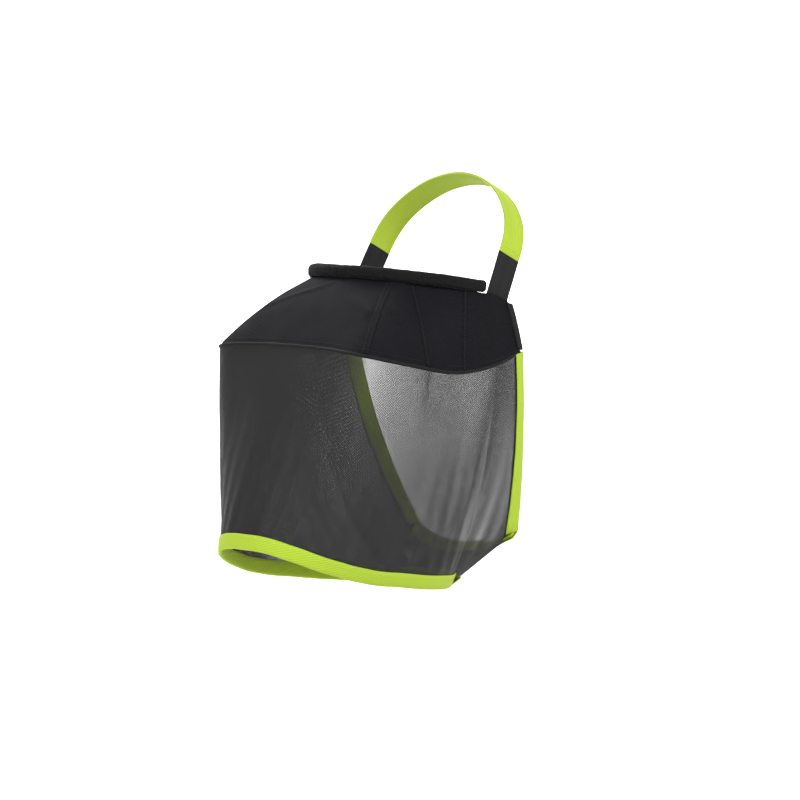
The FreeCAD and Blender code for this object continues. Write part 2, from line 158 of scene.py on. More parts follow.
def skirtPoint(t, v):
    top, hem, side = ridge(t), skirtHem(t), abs(t)
    turn = math.radians(180 * side if side < 0.5 else 90 - 50 * (side - 0.5))
    out = np.array((math.copysign(math.sin(turn), t), -math.cos(turn), 0))
    return top + (hem - top) * v + out * (fullness(t)[1] * 4 * v * (1 - v))


def yokePoint(t, v):
    top, low = yokeTop(t), ridge(t)
    out = low - top
    out = out / np.linalg.norm(out) * 0.5
    out[2] = 0.85
    return top + (low - top) * v + out * (0.006 * (1 - 0.6 * t * t) * 4 * v * (1 - v))


def jawPoint(across, back):
    share, nose = across * across, noseLoop(180)
    throatY, throatZ = form["throat"]
    throat = np.array((foldRear[0] * across, throatY + (foldRear[1] - throatY) * share,
                       throatZ + (foldRear[2] - throatZ) * share))
    front = np.array((foldFront[0] * across, nose[1] + (foldFront[1] - nose[1]) * share,
                      nose[2] + (foldFront[2] - nose[2]) * share))
    return front + (throat - front) * back


insideMask = np.array((0, 0.025, -0.060))


def normalOf(point, u, v, step=0.004):
    alongU = point(u + step, v) - point(u - step, v)
    alongV = point(u, min(v + step, 1)) - point(u, max(v - step, 0))
    normal = np.cross(alongU, alongV)
    normal /= np.linalg.norm(normal)
    return normal if normal @ (point(u, v) - insideMask) > 0 else -normal


def ripple(p, size, amount, seed):  # slow swell of hung cloth
    return amount * noise.noise(Vector(p) / size + Vector((seed, 0, 0)))


# ---- makers: cloth on a surface, a section carried along a path, stitches, fibres

def addPiece(name, verts, faces, uvs, material, body, sharp=40):
    mesh = bpy.data.meshes.new(name)
    mesh.from_pydata([tuple(v) for v in verts], [], faces)
    layer = mesh.uv_layers.new(name="cut")
    flat = np.array([uvs[f][k] for f in range(len(faces)) for k in range(len(faces[f]))])
    layer.data.foreach_set("uv", flat.ravel())
    mesh.materials.append(material)
    mesh.shade_smooth()
    mesh.set_sharp_from_angle(angle=math.radians(sharp))
    mesh.validate()
    piece = bpy.data.objects.new(name, mesh)
    bpy.context.scene.collection.objects.link(piece)
    if isinstance(body, str):
        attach(piece, body)
    else:
        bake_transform(piece)
    finished.append(piece)
    return piece


def clothPiece(name, point, us, vs, thick, material, body, swell=None):
    # two skins and a rim; the UV map is the flat cut in metres
    grid = np.array([[point(u, v) for v in vs] for u in us])
    du, dv = np.gradient(grid, axis=0), np.gradient(grid, axis=1)
    normals = np.cross(du, dv)
    normals /= np.linalg.norm(normals, axis=2, keepdims=True)
    middle = (len(us) // 2, len(vs) // 2)
    if normals[middle] @ (grid[middle] - insideMask) < 0:
        normals = -normals
    if swell:
        for i, u in enumerate(us):
            for j, v in enumerate(vs):
                grid[i, j] += normals[i, j] * swell(u, v, grid[i, j])
        du, dv = np.gradient(grid, axis=0), np.gradient(grid, axis=1)
        fresh = np.cross(du, dv)
        fresh /= np.linalg.norm(fresh, axis=2, keepdims=True)
        normals = fresh * np.sign((fresh * normals).sum(axis=2, keepdims=True))
    run = np.linalg.norm(np.diff(grid[:, len(vs) // 2], axis=0), axis=1)
    cutU = np.concatenate([[0], np.cumsum(run)])
    cutU -= cutU[-1] / 2
    drop = np.linalg.norm(np.diff(grid, axis=1), axis=2)
    cutV = np.concatenate([np.zeros((len(us), 1)), np.cumsum(drop, axis=1)], axis=1)
    wide, tall = len(us), len(vs)
    verts = [grid[i, j] + normals[i, j] * side * thick / 2
             for side in (1, -1) for i in range(wide) for j in range(tall)]
    at = lambda side, i, j: side * wide * tall + i * tall + j
    cut = lambda i, j: (cutU[i], cutV[i, j])
    faces, uvs = [], []
    quad = np.cross(grid[middle[0] + 1, middle[1]] - grid[middle],
                    grid[middle[0], middle[1] + 1] - grid[middle])
    turned = quad @ normals[middle] < 0
    for i in range(wide - 1):
        for j in range(tall - 1):
            corners = [(i, j), (i + 1, j), (i + 1, j + 1), (i, j + 1)]
            for side in (0, 1):
                order = corners if (side == 1) == turned else corners[::-1]
                faces.append([at(side, *c) for c in order])
                uvs.append([cut(*c) for c in order])
    border = ([(i, 0) for i in range(wide)] + [(wide - 1, j) for j in range(1, tall)]
              + [(i, tall - 1) for i in range(wide - 2, -1, -1)]
              + [(0, j) for j in range(tall - 2, 0, -1)])
    for here, there in zip(border, border[1:] + border[:1]):
        ring = [at(0, *here), at(1, *here), at(1, *there), at(0, *there)]
        marks = [cut(*here), cut(*here), cut(*there), cut(*there)]
        faces.append(ring[::-1] if turned else ring)
        uvs.append(marks[::-1] if turned else marks)
    return addPiece(name, verts, faces, uvs, material, body)


def framesAlong(point, along, at, inward, lift=0):
    # stations (place, across, normal) on a border; across points out of the cloth
    frames = []
    for s in along:
        here, normal = point(*at(s)), normalOf(point, *at(s))
        ahead = point(*at(s + 0.002)) - point(*at(s - 0.002))
        across = np.cross(ahead / np.linalg.norm(ahead), normal)
        across /= np.linalg.norm(across)
        if across @ (point(*inward(s)) - here) > 0:
            across = -across
        frames.append((here + normal * lift, across, normal))
    return frames


def bandPiece(name, frames, section, material, body, waver=0.0, seed=0, sharp=50):
    # a closed section of (across, normal) points carried along the frames
    count, verts = len(section), []
    places = np.array([f[0] for f in frames])
    run = np.concatenate([[0], np.cumsum(np.linalg.norm(np.diff(places, axis=0), axis=1))])
    for (place, across, normal), s in zip(frames, run):
        drift = waver * noise.noise(Vector((s * 60, seed, 0.5)))
        bulge = waver * noise.noise(Vector((s * 90, seed, 7.5))) * 0.6
        for a, n in section:
            verts.append(place + across * (a + drift) + normal * (n + bulge * (n > 0)))
    ring = np.array(section + section[:1])
    girth = np.concatenate([[0], np.cumsum(np.linalg.norm(np.diff(ring, axis=0), axis=1))])
    faces, uvs = [], []
    for i in range(len(frames) - 1):
        for k in range(count):
            n = (k + 1) % count
            faces.append([i * count + k, i * count + n, (i + 1) * count + n,
                          (i + 1) * count + k])
            uvs.append([(run[i], girth[k]), (run[i], girth[k + 1]),
                        (run[i + 1], girth[k + 1]), (run[i + 1], girth[k])])
    last = (len(frames) - 1) * count
    for ends, order in ((0, 1), (last, -1)):
        loop = [ends + k for k in range(count)][::order]
        faces.append(loop[::-1])
        uvs.append([(run[-1 if ends else 0], a) for a, n in section][::order][::-1])
    piece = addPiece(name, verts, faces, uvs, material, body, sharp)
    return outward(piece)


def outward(piece):  # a closed piece's faces point out
    mesh = piece.data
    mesh.calc_loop_triangles()
    volume = 0.0
    for tri in mesh.loop_triangles:
        a, b, c = (mesh.vertices[i].co for i in tri.vertices)
        volume += a.dot(b.cross(c))
    if volume < 0:
        mesh.flip_normals()
    return piece


def hemSection(width, wall, cloth, rounds=6):
    # binding folded over an edge: a U with a soft outer fold and turned-in raw edges
    slot = cloth / 2 + 0.0001
    outer = slot + wall
    fold = [(0.0009 * math.cos(a), outer * math.sin(a))
            for a in np.linspace(math.pi / 2, -math.pi / 2, rounds)]
    belly = [(-width * s, outer + 0.00018 * math.sin(math.pi * s)) for s in (0.97, 0.7, 0.35)]
    under = [(a, -n) for a, n in reversed(belly)]
    return ([(-width, slot + wall * 0.55)] + belly + fold + under
            + [(-width, -slot - wall * 0.55), (-width, -slot), (0, -slot), (0, slot),
               (-width, slot)])


def newTree(name, inputs):
    tree = bpy.data.node_groups.new(name, "GeometryNodeTree")
    tree.interface.new_socket("Geometry", in_out="INPUT", socket_type="NodeSocketGeometry")
    for label, kind, value in inputs:
        socket = tree.interface.new_socket(label, in_out="INPUT", socket_type=kind)
        if value is not None:
            socket.default_value = value
    tree.interface.new_socket("Geometry", in_out="OUTPUT", socket_type="NodeSocketGeometry")
    start, end = tree.nodes.new("NodeGroupInput"), tree.nodes.new("NodeGroupOutput")

    def node(kind, **settings):
        made = tree.nodes.new(kind)
        for key, value in settings.items():
            setattr(made, key, value)
        return made
    return tree, start, end, node, tree.links.new


def stitchTree():  # thread stitches spaced along a guide that carries an outward vector
    tree, start, end, node, link = newTree("stitchRow", [
        ("Spacing", "NodeSocketFloat", 0.003), ("Stitch long", "NodeSocketFloat", 0.0021),
        ("Thread", "NodeSocketFloat", 0.0005), ("Slant", "NodeSocketFloat", 0.0),
        ("Material", "NodeSocketMaterial", None)])
    curve = node("GeometryNodeMeshToCurve")
    spaced = node("GeometryNodeResampleCurve", mode="LENGTH")
    bead = node("GeometryNodeMeshUVSphere")
    bead.inputs["Segments"].default_value = 8
    bead.inputs["Rings"].default_value = 6
    bead.inputs["Radius"].default_value = 0.5
    size = node("ShaderNodeCombineXYZ")
    tangent = node("GeometryNodeInputTangent")
    outwards = node("GeometryNodeInputNamedAttribute", data_type="FLOAT_VECTOR")
    outwards.inputs["Name"].default_value = "outward"
    lengthwise = node("FunctionNodeAlignRotationToVector", axis="X")
    upright = node("FunctionNodeAlignRotationToVector", axis="Z", pivot_axis="X")
    slant = node("FunctionNodeRotateRotation", rotation_space="LOCAL")
    turn = node("FunctionNodeEulerToRotation")
    angles = node("ShaderNodeCombineXYZ")
    copies = node("GeometryNodeInstanceOnPoints")
    real = node("GeometryNodeRealizeInstances")
    dress = node("GeometryNodeSetMaterial")
    link(start.outputs["Geometry"], curve.inputs["Mesh"])
    link(curve.outputs["Curve"], spaced.inputs["Curve"])
    link(start.outputs["Spacing"], spaced.inputs["Length"])
    link(spaced.outputs["Curve"], copies.inputs["Points"])
    link(bead.outputs["Mesh"], copies.inputs["Instance"])
    link(start.outputs["Stitch long"], size.inputs["X"])
    link(start.outputs["Thread"], size.inputs["Y"])
    link(start.outputs["Thread"], size.inputs["Z"])
    link(size.outputs["Vector"], copies.inputs["Scale"])
    link(tangent.outputs["Tangent"], lengthwise.inputs["Vector"])
    link(lengthwise.outputs["Rotation"], upright.inputs["Rotation"])
    link(outwards.outputs["Attribute"], upright.inputs["Vector"])
    link(upright.outputs["Rotation"], slant.inputs["Rotation"])
    link(start.outputs["Slant"], angles.inputs["Z"])
    link(angles.outputs["Vector"], turn.inputs["Euler"])
    link(turn.outputs["Rotation"], slant.inputs["Rotate By"])
    link(slant.outputs["Rotation"], copies.inputs["Rotation"])
    link(copies.outputs["Instances"], real.inputs["Geometry"])
    link(real.outputs["Geometry"], dress.inputs["Geometry"])
    link(start.outputs["Material"], dress.inputs["Material"])
    link(dress.outputs["Geometry"], end.inputs["Geometry"])
    return tree


def fibreTree():  # short tapered fibres scattered over a skin
    tree, start, end, node, link = newTree("fibrePile", [
        ("Density", "NodeSocketFloat", 200000.0), ("Fibre long", "NodeSocketFloat", 0.0015),
        ("Fibre thick", "NodeSocketFloat", 0.00012), ("Lean", "NodeSocketFloat", 0.7),
        ("Seed", "NodeSocketInt", 3), ("Material", "NodeSocketMaterial", None)])
    scatter = node("GeometryNodeDistributePointsOnFaces")
    fibre = node("GeometryNodeMeshCone", fill_type="NONE")
    fibre.inputs["Vertices"].default_value = 3
    fibre.inputs["Radius Top"].default_value = 0.15
    fibre.inputs["Radius Bottom"].default_value = 1.0
    fibre.inputs["Depth"].default_value = 1.0
    lean = node("FunctionNodeRandomValue", data_type="FLOAT_VECTOR")
    turn = node("FunctionNodeEulerToRotation")
    bent = node("FunctionNodeRotateRotation", rotation_space="LOCAL")
    low, high = node("ShaderNodeCombineXYZ"), node("ShaderNodeCombineXYZ")
    flip = node("ShaderNodeMath", operation="MULTIPLY")
    flip.inputs[1].default_value = -1.0
    size = node("ShaderNodeCombineXYZ")
    copies = node("GeometryNodeInstanceOnPoints")
    real = node("GeometryNodeRealizeInstances")
    dress = node("GeometryNodeSetMaterial")
    link(start.outputs["Geometry"], scatter.inputs["Mesh"])
    link(start.outputs["Density"], scatter.inputs["Density"])
    link(start.outputs["Seed"], scatter.inputs["Seed"])
    link(start.outputs["Lean"], flip.inputs[0])
    for name in ("X", "Y"):
        link(flip.outputs[0], low.inputs[name])
        link(start.outputs["Lean"], high.inputs[name])
    link(low.outputs["Vector"], lean.inputs[0])
    link(high.outputs["Vector"], lean.inputs[1])
    link(start.outputs["Seed"], lean.inputs["Seed"])
    link(lean.outputs[0], turn.inputs["Euler"])
    link(scatter.outputs["Rotation"], bent.inputs["Rotation"])
    link(turn.outputs["Rotation"], bent.inputs["Rotate By"])
    link(bent.outputs["Rotation"], copies.inputs["Rotation"])
    link(start.outputs["Fibre thick"], size.inputs["X"])
    link(start.outputs["Fibre thick"], size.inputs["Y"])
    link(start.outputs["Fibre long"], size.inputs["Z"])
    link(size.outputs["Vector"], copies.inputs["Scale"])
    link(scatter.outputs["Points"], copies.inputs["Points"])
    link(fibre.outputs["Mesh"], copies.inputs["Instance"])
    link(copies.outputs["Instances"], real.inputs["Geometry"])
    link(real.outputs["Geometry"], dress.inputs["Geometry"])
    link(start.outputs["Material"], dress.inputs["Material"])
    link(dress.outputs["Geometry"], end.inputs["Geometry"])
    return tree


def grow(name, source, tree, settings, body):
    # runs a tree on a source mesh and keeps the result as a plain piece
    carrier = bpy.data.objects.new(name + "Guide", source)
    bpy.context.scene.collection.objects.link(carrier)
    modifier = carrier.modifiers.new("grow", "NODES")
    modifier.node_group = tree
    for item in tree.interface.items_tree:
        if item.item_type == "SOCKET" and item.in_out == "INPUT" and item.name in settings:
            modifier[item.identifier] = settings[item.name]
    graph = bpy.context.evaluated_depsgraph_get()
    mesh = bpy.data.meshes.new_from_object(carrier.evaluated_get(graph), depsgraph=graph)
    bpy.data.objects.remove(carrier)
    mesh.name = name
    mesh.shade_smooth()
    piece = bpy.data.objects.new(name, mesh)
    bpy.context.scene.collection.objects.link(piece)
    if isinstance(body, str):
        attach(piece, body)
    else:
        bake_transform(piece)
    finished.append(piece)
    return piece


def guideMesh(name, lines):  # polylines of (place, outward) as one edge mesh
    verts, edges, vectors = [], [], []
    for line in lines:
        first = len(verts)
        for place, vector in line:
            verts.append(tuple(place))
            vectors.append(tuple(vector))
        edges += [(i, i + 1) for i in range(first, len(verts) - 1)]
    mesh = bpy.data.meshes.new(name)
    mesh.from_pydata(verts, edges, [])
    attribute = mesh.attributes.new("outward", "FLOAT_VECTOR", "POINT")
    attribute.data.foreach_set("vector", np.array(vectors, float).ravel())
    return mesh


def beside(frames, a, n):  # a stitch line at (a, n) in each station's own axes
    return [(place + across * a + normal * n, normal * math.copysign(1, n))
            for place, across, normal in frames]


# ---- finishes

def newMaterial(name):
    material = bpy.data.materials.new(name)
    material.use_nodes = True
    nodes, link = material.node_tree.nodes, material.node_tree.links.new
    nodes.clear()
    out = nodes.new("ShaderNodeOutputMaterial")
    shader = nodes.new("ShaderNodeBsdfPrincipled")
    link(shader.outputs["BSDF"], out.inputs["Surface"])

    def node(kind, **settings):
        made = nodes.new(kind)
        for key, value in settings.items():
            setattr(made, key, value)
        return made

    def sum_(operation, one, two=None, clamp=False):
        made = node("ShaderNodeMath", operation=operation, use_clamp=clamp)
        for slot, value in enumerate((one, two)):
            if value is None:
                continue
            if isinstance(value, (int, float)):
                made.inputs[slot].default_value = value
            else:
                link(value, made.inputs[slot])
        return made.outputs[0]

    def mix(factor, one, two):
        made = node("ShaderNodeMix", data_type="RGBA")
        for slot, value in ((0, factor), (6, one), (7, two)):
            if isinstance(value, (int, float)):
                made.inputs[slot].default_value = value
            elif isinstance(value, tuple):
                made.inputs[slot].default_value = (*value, 1)
            else:
                link(value, made.inputs[slot])
        return made.outputs[2]

    def cutAxes(turn=0.0):
        uv = node("ShaderNodeUVMap", uv_map="cut")
        place = node("ShaderNodeMapping")
        place.inputs["Rotation"].default_value = (0, 0, math.radians(turn))
        link(uv.outputs["UV"], place.inputs["Vector"])
        split = node("ShaderNodeSeparateXYZ")
        link(place.outputs["Vector"], split.inputs["Vector"])
        return split.outputs["X"], split.outputs["Y"], place.outputs["Vector"]

    def speckle(scale, detail=2.0, source=None):
        made = node("ShaderNodeTexNoise")
        made.inputs["Scale"].default_value = scale
        made.inputs["Detail"].default_value = detail
        if source is None:
            source = node("ShaderNodeTexCoord").outputs["Object"]
        link(source, made.inputs["Vector"])
        return made.outputs["Fac"]

    def relief(height, distance, strength=1.0):
        made = node("ShaderNodeBump")
        made.inputs["Distance"].default_value = distance
        made.inputs["Strength"].default_value = strength
        link(height, made.inputs["Height"])
        link(made.outputs["Normal"], shader.inputs["Normal"])

    return material, shader, node, sum_, mix, cutAxes, speckle, relief, link


def halfWave(sum_, axis, pitch, shift=0.0):
    angle = sum_("ADD", sum_("MULTIPLY", axis, 2 * math.pi / pitch), shift)
    return sum_("ADD", sum_("MULTIPLY", sum_("SINE", angle), 0.5), 0.5)


def wovenMaterial(name, look):
    # ribs along the tape, threads across them, soft patches of wear; the rib grooves carry painted shade
    # and the face a speckle of painted glints
    material, shader, node, sum_, mix, cutAxes, speckle, relief, link = newMaterial(name)
    x, y, vector = cutAxes(look["turn"])
    ribs = halfWave(sum_, y, look["rib"])
    threads = halfWave(sum_, x, look["thread"])
    offset = halfWave(sum_, x, look["thread"], math.pi)
    side = sum_("GREATER_THAN", halfWave(sum_, y, look["rib"] * 2, math.pi / 4), 0.5)
    weave = sum_("ADD", sum_("MULTIPLY", threads, side),
                 sum_("MULTIPLY", offset, sum_("SUBTRACT", 1.0, side)))
    height = sum_("ADD", sum_("MULTIPLY", ribs, 0.65), sum_("MULTIPLY", weave, 0.35))
    worn = speckle(look["patch"], 3.0)
    fine = speckle(2600.0, 1.0)
    # painted shade: the colour goes to the darker deep tone where the rib and thread relief is low
    grooveShade = mix(sum_("POWER", height, 0.8), look["deep"], look["face"])
    # the painted groove shade, then random soft patches of wear
    grooveShadeAndWear = mix(sum_("MULTIPLY", sum_("SUBTRACT", worn, 0.42, True), look["wear"]),
                grooveShade, look["worn"])
    # painted highlight: a fine speckle of the lighter glint colour across the face
    glintSpeckle = mix(sum_("MULTIPLY", sum_("SUBTRACT", fine, 0.5, True), look["glintSpeckle"]),
                grooveShadeAndWear, look["glint"])
    link(glintSpeckle, shader.inputs["Base Color"])
    link(sum_("ADD", sum_("MULTIPLY", worn, 0.12), look["rough"]), shader.inputs["Roughness"])
    shader.inputs["Sheen Weight"].default_value = look["sheen"]
    shader.inputs["Sheen Roughness"].default_value = 0.5
    shader.inputs["Specular IOR Level"].default_value = look["gloss"]
    relief(height, look["depth"])
    return material


limeBinding = wovenMaterial("limeBinding", {
    "turn": 27, "rib": 0.0021, "thread": 0.0007, "patch": 24.0, "wear": 0.5, "glintSpeckle": 0.8,
    "face": (0.41, 0.55, 0.034), "deep": (0.24, 0.37, 0.014), "worn": (0.33, 0.43, 0.042),
    "glint": (0.56, 0.70, 0.10), "rough": 0.66, "sheen": 0.03, "gloss": 0.22,
    "depth": 0.00022})
limeWebbing = wovenMaterial("limeWebbing", {
    "turn": 0, "rib": 0.0019, "thread": 0.0009, "patch": 20.0, "wear": 0.45, "glintSpeckle": 0.8,
    "face": (0.42, 0.545, 0.040), "deep": (0.24, 0.36, 0.015), "worn": (0.34, 0.43, 0.048),
    "glint": (0.56, 0.70, 0.12), "rough": 0.64, "sheen": 0.03, "gloss": 0.22,
    "depth": 0.00028})
blackTape = wovenMaterial("blackTape", {
    "turn": 0, "rib": 0.0012, "thread": 0.0008, "patch": 30.0, "wear": 0.4, "glintSpeckle": 0.6,
    "face": (0.009, 0.0085, 0.0095), "deep": (0.003, 0.003, 0.0035), "worn": (0.013, 0.012, 0.013),
    "glint": (0.028, 0.028, 0.03), "rough": 0.72, "sheen": 0.03, "gloss": 0.16,
    "depth": 0.00016})
blackElastic = wovenMaterial("blackElastic", {
    "turn": 0, "rib": 0.0016, "thread": 0.0010, "patch": 26.0, "wear": 0.4, "glintSpeckle": 0.6,
    "face": (0.012, 0.0115, 0.0125), "deep": (0.0035, 0.0035, 0.004), "worn": (0.016, 0.015, 0.016),
    "glint": (0.035, 0.035, 0.038), "rough": 0.66, "sheen": 0.03, "gloss": 0.2,
    "depth": 0.00024})
yokeKnit = wovenMaterial("yokeKnit", {
    "turn": 34, "rib": 0.0017, "thread": 0.0011, "patch": 16.0, "wear": 0.7, "glintSpeckle": 0.9,
    "face": (0.0085, 0.0078, 0.0100), "deep": (0.0028, 0.0026, 0.0034), "worn": (0.0125, 0.0115, 0.0140),
    "glint": (0.040, 0.039, 0.046), "rough": 0.76, "sheen": 0.0, "gloss": 0.07,
    "depth": 0.0004})


def netMaterial(name, look):
    # fine open mesh: crossing threads with clear holes between them
    material, shader, node, sum_, mix, cutAxes, speckle, relief, link = newMaterial(name)
    x, y, vector = cutAxes(look["turn"])

    def away(axis):  # 0 on a thread's middle, 0.5 between threads
        part = sum_("FRACT", sum_("MULTIPLY", axis, 1 / look["pitch"]))
        return sum_("ABSOLUTE", sum_("SUBTRACT", part, 0.5))
    nearX = sum_("SUBTRACT", 0.5, away(x))
    nearY = sum_("SUBTRACT", 0.5, away(y))
    nearest = sum_("MINIMUM", nearX, nearY)
    cover = sum_("MAXIMUM", sum_("LESS_THAN", nearest, look["thread"]), look["haze"])
    height = sum_("SUBTRACT", 1.0, sum_("MULTIPLY", nearest, 2.0))
    patch = speckle(look["patch"], 3.0)
    tone = mix(patch, look["deep"], look["face"])
    # patchy tone at random, then painted highlight: a fine speckle of the lighter glint colour
    link(mix(sum_("MULTIPLY", sum_("SUBTRACT", speckle(1800.0, 1.0), 0.52, True), 0.8),
             tone, look["glint"]), shader.inputs["Base Color"])
    link(cover, shader.inputs["Alpha"])
    link(sum_("ADD", sum_("MULTIPLY", patch, 0.1), 0.5), shader.inputs["Roughness"])
    shader.inputs["Sheen Weight"].default_value = 0.02
    shader.inputs["Specular IOR Level"].default_value = 0.2
    relief(height, 0.00006)
    return material


meshNet = netMaterial("meshNet", {
    "turn": 45, "pitch": 0.00120, "thread": 0.226, "haze": 0.27, "patch": 12.0,
    "face": (0.020, 0.0185, 0.0185), "deep": (0.010, 0.0095, 0.010),
    "glint": (0.05, 0.05, 0.05)})


def pileMaterial(name, look):
    material, shader, node, sum_, mix, cutAxes, speckle, relief, link = newMaterial(name)
    tuft, fine = speckle(look["tuft"], 4.0), speckle(look["fibre"], 3.0)
    height = sum_("ADD", sum_("MULTIPLY", tuft, 0.6), sum_("MULTIPLY", fine, 0.4))
    # painted shade: darker towards the deep tone where the pile relief is low, in the hollows between
    # tufts
    link(mix(sum_("POWER", height, 1.6), look["deep"], look["face"]),
         shader.inputs["Base Color"])
    link(sum_("ADD", sum_("MULTIPLY", fine, 0.15), look["rough"]), shader.inputs["Roughness"])
    shader.inputs["Sheen Weight"].default_value = look["sheen"]
    shader.inputs["Sheen Roughness"].default_value = 0.4
    shader.inputs["Specular IOR Level"].default_value = look["gloss"]
    relief(height, look["depth"])
    return material


fleece = pileMaterial("fleece", {
    "tuft": 420.0, "fibre": 2400.0, "face": (0.016, 0.0145, 0.0150),
    "deep": (0.005, 0.0045, 0.0048), "rough": 0.85, "sheen": 0.05, "gloss": 0.1,
    "depth": 0.0006})
foamCore = pileMaterial("foamCore", {
    "tuft": 900.0, "fibre": 3000.0, "face": (0.20, 0.20, 0.21), "deep": (0.08, 0.08, 0.09),
    "rough": 0.85, "sheen": 0.1, "gloss": 0.2, "depth": 0.0004})
hookPlastic = pileMaterial("hookPlastic", {
    "tuft": 700.0, "fibre": 2200.0, "face": (0.030, 0.030, 0.031),
    "deep": (0.010, 0.010, 0.010), "rough": 0.42, "sheen": 0.0, "gloss": 0.5,
    "depth": 0.0002})
loopPile = pileMaterial("loopPile", {
    "tuft": 1100.0, "fibre": 2600.0, "face": (0.040, 0.038, 0.038),
    "deep": (0.010, 0.010, 0.010), "rough": 0.82, "sheen": 0.4, "gloss": 0.15,
    "depth": 0.0005})
blackThread = pileMaterial("blackThread", {
    "tuft": 1500.0, "fibre": 5200.0, "face": (0.016, 0.0155, 0.017),
    "deep": (0.006, 0.006, 0.0065), "rough": 0.55, "sheen": 0.0, "gloss": 0.25,
    "depth": 0.00006})
limeThread = pileMaterial("limeThread", {
    "tuft": 1500.0, "fibre": 5200.0, "face": (0.58, 0.78, 0.06),
    "deep": (0.34, 0.50, 0.02), "rough": 0.45, "sheen": 0.1, "gloss": 0.4,
    "depth": 0.00006})
print("finishes made")

stitchRow, fibrePile = stitchTree(), fibreTree()
span = np.linspace
blackLines, limeLines = [], []  # stitch guides on the mask body

# ---- mesh skirt: one wrap of fine mesh from the ridge seam down to the hem

skirt = {"thick": 0.0005, "swell": 0.0013, "swellSize": 0.05, "around": 241, "down": 61,
         "top": 0.006, "hem": 0.9995, "rear": 0.996, "fold": 0.0006}


def skirtSwell(u, v, place):
    held = min(1, 6 * v) * min(1, 8 * (1 - v)) * min(1, 12 * (1 - abs(u)))
    slow = ripple(place, skirt["swellSize"], skirt["swell"], 2.0)
    folds = skirt["fold"] * math.sin(95 * u + 9 * v) * v * v
    return held * (slow + folds)


skirtPiece = clothPiece(
    "meshSkirt", skirtPoint, span(-skirt["rear"], skirt["rear"], skirt["around"]),
    span(skirt["top"], skirt["hem"], skirt["down"]), skirt["thick"], meshNet, "mask",
    skirtSwell)
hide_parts("face_mesh", "cheek_mesh_left", "cheek_mesh_right",
            "jaw_mesh_left", "jaw_mesh_right")


print("skirt hung")

# ---- yoke: seven gores of dense knit, drawn down a little at each seam

yoke = {"thick": 0.0012, "seamDip": 0.0009, "pucker": 0.00035, "puckerPitch": 0.0065,
        "swell": 0.0012, "swellSize": 0.03, "down": 45, "finish": 0.99, "pull": 0.022,
        "tension": 0.0011, "creaseAt": (0.16, 0.35), "creaseSlope": 1.6,
        "creaseWide": 0.05, "creaseEnd": 0.27}
seamList = form["seams"]


def yokeSwell(u, v, place):
    low = min(abs(abs(u) - s) for s in (*seamList, 1.0))
    near = math.exp(-(low / yoke["pull"]) ** 2)
    pucker = math.sin(2 * math.pi * v * 0.06 / yoke["puckerPitch"]) * yoke["pucker"]
    held = min(1, 10 * v) * min(1, 10 * (1 - v))
    creaseU, creaseV = yoke["creaseAt"]  # a tension crease from the brow to the ridge
    off = v - creaseV - yoke["creaseSlope"] * (abs(u) - creaseU)
    crease = math.exp(-(off / yoke["creaseWide"]) ** 2) * (abs(u) < yoke["creaseEnd"])
    slow = ripple(place, yoke["swellSize"], yoke["swell"], 5.0)
    return held * (slow * (1 - near) + near * pucker + crease * yoke["tension"]) \
        - near * yoke["seamDip"]


borders = (-yoke["finish"], *[-s for s in reversed(seamList)], *seamList, yoke["finish"])
goreNodes = ("yoke_temple_gore_right", "yoke_eye_rear_gore_right",
             "yoke_eye_front_gore_right", "yoke_centre_gore", "yoke_eye_front_gore_left",
             "yoke_eye_rear_gore_left", "yoke_temple_gore_left")
goreNames = ("templeGoreRight", "eyeRearGoreRight", "eyeFrontGoreRight", "centreGore",
             "eyeFrontGoreLeft", "eyeRearGoreLeft", "templeGoreLeft")
for name, node, start, end in zip(goreNames, goreNodes, borders, borders[1:]):
    gore = clothPiece(name, yokePoint, span(start, end, max(25, int((end - start) * 130))),
                      span(-0.02, 0.997, yoke["down"]), yoke["thick"], yokeKnit, "mask",
                      yokeSwell)
    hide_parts(node)

# felled seams over the joins: the front one wide with two rows, the others narrow
felled = {"half": (0.0033, 0.0019, 0.0017), "rise": 0.0008, "rows": (2, 1, 1)}
for sign, side in ((1, "left"), (-1, "right")):
    for number, station in enumerate(seamList, start=1):
        half, rise = felled["half"][number - 1], felled["rise"]
        section = [(-half, 0.0), (-half + 0.0002, rise * 0.8), (-half + 0.0007, rise),
                   (0, rise * 1.12), (half - 0.0007, rise), (half - 0.0002, rise * 0.8),
                   (half, 0.0)]
        frames = framesAlong(yokePoint, span(0.02, 0.975, 60),
                             lambda s, u=sign * station: (u, s),
                             lambda s, u=sign * station: (u + 0.02, s),
                             lift=yoke["thick"] / 2 - yoke["seamDip"])
        strip = bandPiece(f"felledSeam{number}{side.title()}", frames, section, yokeKnit,
                          "mask", waver=0.00025, seed=number * sign)
        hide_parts(f"yoke_seam_{number}_{side}")
        for row in (-1, 1)[:felled["rows"][number - 1]]:
            aside = row * half * 0.66 if felled["rows"][number - 1] == 2 else 0
            blackLines.append(beside(frames[1:-1], aside, rise * 1.02))

# piping on the ridge: rolled knit edge with the mesh sewn under it
piping = {"radius": 0.0015, "flat": 0.78}
rolled = [(piping["radius"] * math.cos(a), piping["radius"] * piping["flat"] * math.sin(a))
          for a in span(0, 2 * math.pi, 13)[:-1]]
ridgeFrames = framesAlong(skirtPoint, span(-0.985, 0.985, 200), lambda s: (s, 0),
                          lambda s: (s, 0.05))
ridgeCord = bandPiece("ridgePiping", ridgeFrames, rolled, blackTape, "mask",
                      waver=0.0002, seed=4)
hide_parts("ridge_piping")
blackLines.append(beside(framesAlong(yokePoint, span(-0.98, 0.98, 200), lambda s: (s, 0.94),
                                     lambda s: (s, 0.9)), 0, yoke["thick"] / 2 + 0.0002))
print("yoke sewn")

# ---- bound edges

